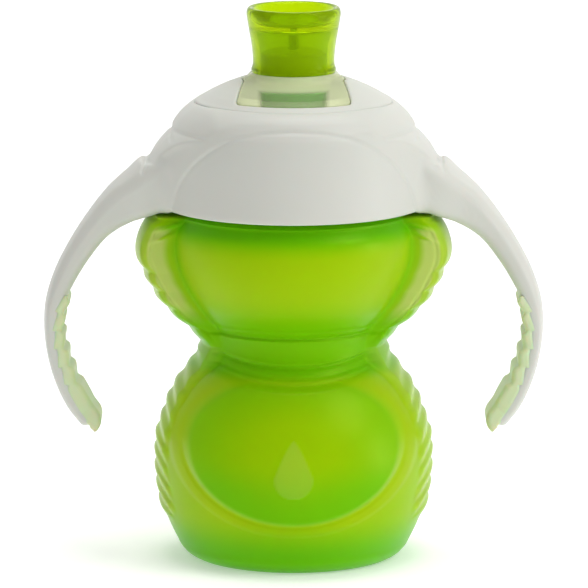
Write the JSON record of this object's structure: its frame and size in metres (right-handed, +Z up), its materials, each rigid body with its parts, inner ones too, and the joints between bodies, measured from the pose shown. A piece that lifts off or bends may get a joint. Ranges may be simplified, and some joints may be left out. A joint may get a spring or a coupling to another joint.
{
  "type": "sippy cup",
  "caption": "Hourglass trainer cup with side grips, a screw-on lid in a collar with two curved handles, and a soft valved spout.",
  "frame": {"origin": "centre of the foot ring, on the surface the cup stands on", "axes": "+Z up along the cup and screw axis, the two handles along X, front (wide end of the crown opening) along -Y"},
  "size_m": [0.1298, 0.0718, 0.144],
  "materials": {
    "cup_green": "satin translucent lime green",
    "lid_white": "satin white",
    "grip_green": "soft translucent pale green",
    "clear_silicone": "clear soft silicone",
    "tip_green": "glossy translucent lime green",
    "valve_green": "soft green silicone",
    "gasket_white": "soft white silicone"
  },
  "bodies": {
    "cup": {"cup_body": "cup_green"},
    "gasket": {"lid_gasket": "gasket_white"},
    "lid": {"threaded_lid": "lid_white", "handle_collar": "lid_white", "left_grip": "grip_green", "right_grip": "grip_green"},
    "spout": {"spout_base": "clear_silicone", "spout_tip": "tip_green"},
    "valve": {"valve_body": "valve_green"}
  },
  "joints": [
    {"name": "lid_rise", "type": "slide", "parent": "cup", "child": "gasket", "axis": [0, 0, 1], "range_m": [0, 0.018]},
    {"name": "lid_turn", "type": "hinge", "parent": "gasket", "child": "lid", "pos_m": [0, 0, 0.1], "axis": [0, 0, 1], "range_deg": [0, 540]},
    {"name": "spout_push", "type": "slide", "parent": "lid", "child": "spout", "axis": [0, 0, -1], "range_m": [0, 0.048]},
    {"name": "valve_pull", "type": "slide", "parent": "spout", "child": "valve", "axis": [0, 0, -1], "range_m": [0, 0.02]}
  ],
  "couplings": [
    {"joint": "lid_rise", "follows": "lid_turn", "m_per_rad": 0.0019098}
  ]
}
